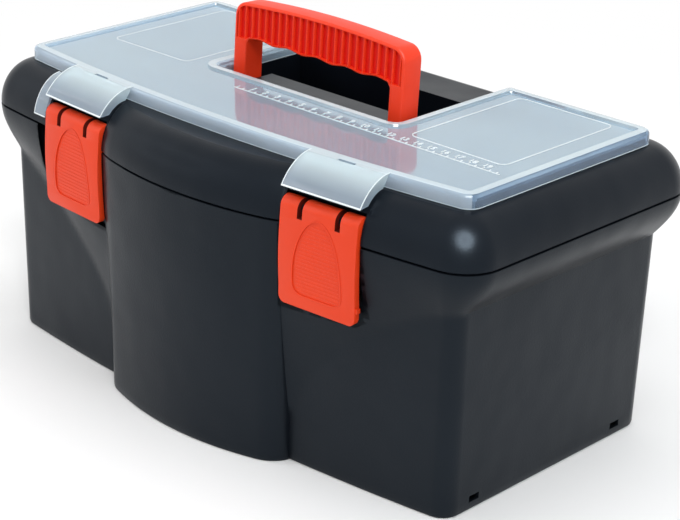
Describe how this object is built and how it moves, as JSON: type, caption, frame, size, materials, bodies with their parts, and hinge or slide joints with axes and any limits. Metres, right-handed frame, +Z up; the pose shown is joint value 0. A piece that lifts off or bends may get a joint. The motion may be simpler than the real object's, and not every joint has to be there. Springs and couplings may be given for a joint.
{
  "type": "hard tool case",
  "caption": "Black hard tool case with a clear hinged organiser cover, orange over-centre latches and a folding orange carry handle.",
  "frame": {"origin": "centre of the box's underside, under the middle of the overall box", "axes": "+Z up, X along the case, the latches and the bulged front face -Y, the lid hinge is at +Y"},
  "size_m": [0.4, 0.2354, 0.2289],
  "materials": {
    "shell": "satin moulded polypropylene",
    "clear": "clear moulded plastic, slightly frosted",
    "orange": "satin moulded plastic",
    "steel": "plain steel pin",
    "tray": "matte moulded plastic"
  },
  "bodies": {
    "tub": {"tub": "shell", "lid_hinge_pin_left": "steel", "lid_hinge_pin_right": "steel"},
    "lid": {"lid": "shell", "organiser": "shell", "well_liner": "shell", "divider_mid_left": "shell", "divider_mid_right": "shell", "divider_row_left": "shell", "divider_row_right": "shell", "divider_deep_left": "shell", "divider_deep_right": "shell", "divider_wing_left": "shell", "divider_wing_right": "shell", "latch_pin_left": "steel", "latch_pin_right": "steel", "handle_pin_left": "steel", "handle_pin_right": "steel", "cover_hinge_pin_left": "steel", "cover_hinge_pin_right": "steel"},
    "cover": {"cover": "clear"},
    "handle": {"handle": "orange"},
    "latch_left": {"latch_left": "orange"},
    "latch_right": {"latch_right": "orange"},
    "tray": {"tray": "tray", "tray_grip": "shell", "tray_divider_front": "tray", "tray_divider_back": "tray"}
  },
  "joints": [
    {"name": "lid_hinge", "type": "hinge", "parent": "tub", "child": "lid", "pos_m": [0, 0.1139, 0.151], "axis": [-1, 0, 0], "range_deg": [0, 100]},
    {"name": "cover_hinge", "type": "hinge", "parent": "lid", "child": "cover", "pos_m": [0, 0.0914, 0.1816], "axis": [-1, 0, 0], "range_deg": [0, 100]},
    {"name": "handle_pivot", "type": "hinge", "parent": "lid", "child": "handle", "pos_m": [0, 0.0038, 0.172], "axis": [-1, 0, 0], "range_deg": [0, 87.5]},
    {"name": "latch_left_pivot", "type": "hinge", "parent": "lid", "child": "latch_left", "pos_m": [-0.1027, -0.09855, 0.1609], "axis": [-0.9976, 0.0698, 0], "range_deg": [0, 105]},
    {"name": "latch_right_pivot", "type": "hinge", "parent": "lid", "child": "latch_right", "pos_m": [0.1027, -0.09855, 0.1609], "axis": [-0.9976, -0.0698, 0], "range_deg": [0, 105]},
    {"name": "tray_lift", "type": "slide", "parent": "tub", "child": "tray", "axis": [0, 0, 1], "range_m": [0, 0.003]}
  ]
}
